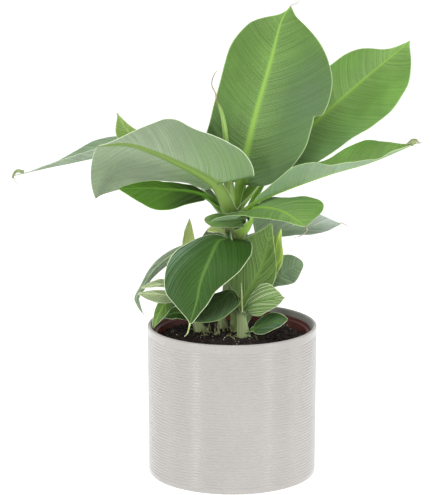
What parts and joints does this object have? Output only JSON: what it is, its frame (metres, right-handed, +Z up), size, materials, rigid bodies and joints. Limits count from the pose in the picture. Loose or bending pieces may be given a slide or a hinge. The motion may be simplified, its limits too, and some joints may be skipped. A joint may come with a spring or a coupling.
{
  "type": "potted banana plant",
  "caption": "Young banana plant with long paddle leaves rising from a short clump of stems, growing in a plastic pot that stands inside a ribbed round glazed cover pot.",
  "frame": {"origin": "centre of the cover pot's flat underside", "axes": "+Z up along the cover pot's axis; -Y is the side that faced the picture's viewer, so +X is to the viewer's right"},
  "size_m": [0.4553, 0.2659, 0.5218],
  "materials": {
    "glaze": "satin off-white glaze over fine turned ribs",
    "growing_pot_plastic": "matte red-brown",
    "potting_soil": "coarse moist potting soil with pale grains",
    "stem_green": "smooth pale green, fibrous",
    "leaf_green": "satin mid green with a pale midrib",
    "leaf_deep_green": "satin deep green with fine side veins",
    "leaf_pale_green": "matte pale yellow-green",
    "leaf_grey_green": "waxy grey-green underside"
  },
  "bodies": {
    "root": {"cover_pot": "glaze", "growing_pot": "growing_pot_plastic", "soil": "potting_soil", "stem_main": "stem_green", "stem_front_shoot": "stem_green", "stem_left_shoot": "stem_green", "stem_rear_shoot": "stem_green", "leaf_top": "leaf_green", "leaf_upright": "leaf_green", "leaf_right": "leaf_green", "leaf_left": "leaf_grey_green", "leaf_left_under": "leaf_green", "leaf_left_long": "leaf_grey_green", "leaf_left_rear": "leaf_pale_green", "leaf_right_low": "leaf_green", "leaf_right_far": "leaf_grey_green", "leaf_left_short": "leaf_deep_green", "leaf_front": "leaf_deep_green", "leaf_left_arch": "leaf_grey_green", "leaf_yellow_bit": "leaf_pale_green", "leaf_rear_high": "leaf_green", "leaf_rear_right": "leaf_green", "leaf_rear_low": "leaf_deep_green", "leaf_young_pale": "leaf_pale_green", "leaf_young_thin": "leaf_pale_green", "leaf_round": "leaf_grey_green", "leaf_low_striped": "leaf_pale_green", "leaf_at_soil": "leaf_green", "leaf_low_dark": "leaf_deep_green", "leaf_edge": "leaf_deep_green", "leaf_edge_rear": "leaf_deep_green", "leaf_pale_upper": "leaf_pale_green", "leaf_pale_lower": "leaf_pale_green", "leaf_shoot_tip": "leaf_pale_green", "leaf_spear_rolled": "leaf_pale_green"}
  },
  "joints": []
}
